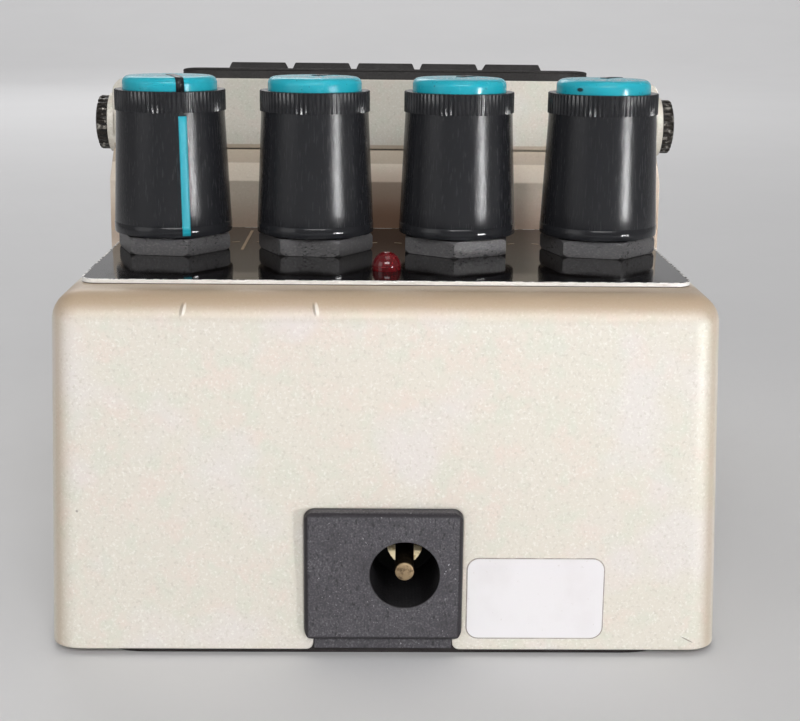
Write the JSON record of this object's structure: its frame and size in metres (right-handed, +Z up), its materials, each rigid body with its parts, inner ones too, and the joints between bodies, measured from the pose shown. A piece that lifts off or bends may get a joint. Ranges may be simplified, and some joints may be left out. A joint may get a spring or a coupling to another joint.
{
  "type": "delay effect pedal",
  "caption": "Compact cast stomp box with a hinged treadle over a battery bay, a row of turning controls, side jacks and a rear power inlet.",
  "frame": {"origin": "middle of the footprint, on the floor", "axes": "+Z up; the player stands on the -Y side, the controls and the power inlet are on the +Y side; +X is the input jack's side"},
  "size_m": [0.0776, 0.129, 0.0611],
  "materials": {
    "pearl_paint": "pearl cream paint on a die casting",
    "gloss_black": "gloss black printed plate",
    "black_nut": "blackened nut",
    "knob_black": "satin moulded plastic",
    "cap_teal": "glossy moulded plastic",
    "black_screw": "black oxide steel",
    "tread_rubber": "moulded rubber",
    "base_rubber": "rubber sheet",
    "steel": "plain steel",
    "nickel": "nickel plate",
    "jack_plastic": "moulded plastic",
    "pot_case": "moulded case",
    "inlet_black": "matt moulded plastic",
    "brass": "bare brass",
    "red_lens": "clear red lens, lamp off",
    "nylon": "natural nylon",
    "board": "glass fibre board",
    "chip": "moulded package"
  },
  "bodies": {
    "housing": {"housing": "pearl_paint", "base_plate": "steel", "base_rubber": "base_rubber", "base_screws": "steel", "control_plate": "gloss_black", "control_nuts": "black_nut", "mode_switch": "jack_plastic", "time_pot": "pot_case", "feedback_pot": "pot_case", "level_pot": "pot_case", "control_board": "board", "led": "red_lens", "led_spacer": "nylon", "main_board": "board", "board_spacers": "nylon", "main_chips": "chip", "capacitors": "chip", "input_jack": "jack_plastic", "output_jack": "jack_plastic", "direct_jack": "jack_plastic", "input_bush": "nickel", "output_bush": "nickel", "direct_bush": "nickel", "jack_nuts": "nickel", "jack_washers": "jack_plastic", "jack_contacts": "brass", "inlet_block": "inlet_black", "inlet_pin": "brass", "inlet_contacts": "brass", "pivot_screws": "black_screw", "return_spring": "steel", "foot_switch": "jack_plastic", "switch_boot": "tread_rubber"},
    "treadle": {"treadle": "pearl_paint", "treadle_pad": "tread_rubber", "pivot_bushes": "nylon"},
    "thumb_washer": {"thumb_washer": "nylon"},
    "thumbscrew": {"thumbscrew": "black_screw", "thumb_clip": "steel"},
    "mode_dial": {"mode_knob": "knob_black", "mode_cap": "cap_teal", "mode_shaft": "steel"},
    "time_dial": {"time_knob": "knob_black", "time_cap": "cap_teal", "time_shaft": "steel"},
    "feedback_dial": {"feedback_knob": "knob_black", "feedback_cap": "cap_teal", "feedback_shaft": "steel"},
    "level_dial": {"level_knob": "knob_black", "level_cap": "cap_teal", "level_shaft": "steel"}
  },
  "joints": [
    {"name": "treadle_hinge", "type": "hinge", "parent": "housing", "child": "treadle", "pos_m": [0, 0.0133, 0.0535], "axis": [-1, 0, 0], "range_deg": [-2, 70], "stiffness_Nm_per_rad": 2, "springref_deg": 0.72, "deforming": ["return_spring", "switch_boot"]},
    {"name": "thumb_lift", "type": "slide", "parent": "treadle", "child": "thumb_washer", "axis": [0, -0.1564, 0.9877], "range_m": [0, 0.0028]},
    {"name": "thumb_turn", "type": "hinge", "parent": "thumb_washer", "child": "thumbscrew", "pos_m": [0, -0.05722, 0.04233], "axis": [0, -0.1564, 0.9877], "range_deg": [0, 1440]},
    {"name": "mode_turn", "type": "hinge", "parent": "housing", "child": "mode_dial", "pos_m": [0.0256, 0.0362, 0.0405], "axis": [0, 0, 1], "range_deg": [-80, 40]},
    {"name": "time_turn", "type": "hinge", "parent": "housing", "child": "time_dial", "pos_m": [0.00853, 0.0362, 0.0405], "axis": [0, 0, 1], "range_deg": [-300, 0]},
    {"name": "feedback_turn", "type": "hinge", "parent": "housing", "child": "feedback_dial", "pos_m": [-0.00853, 0.0362, 0.0405], "axis": [0, 0, 1], "range_deg": [-300, 0]},
    {"name": "level_turn", "type": "hinge", "parent": "housing", "child": "level_dial", "pos_m": [-0.0256, 0.0362, 0.0405], "axis": [0, 0, 1], "range_deg": [-300, 0]}
  ],
  "couplings": [
    {"joint": "thumb_turn", "follows": "thumb_lift", "rad_per_m": 8976}
  ]
}
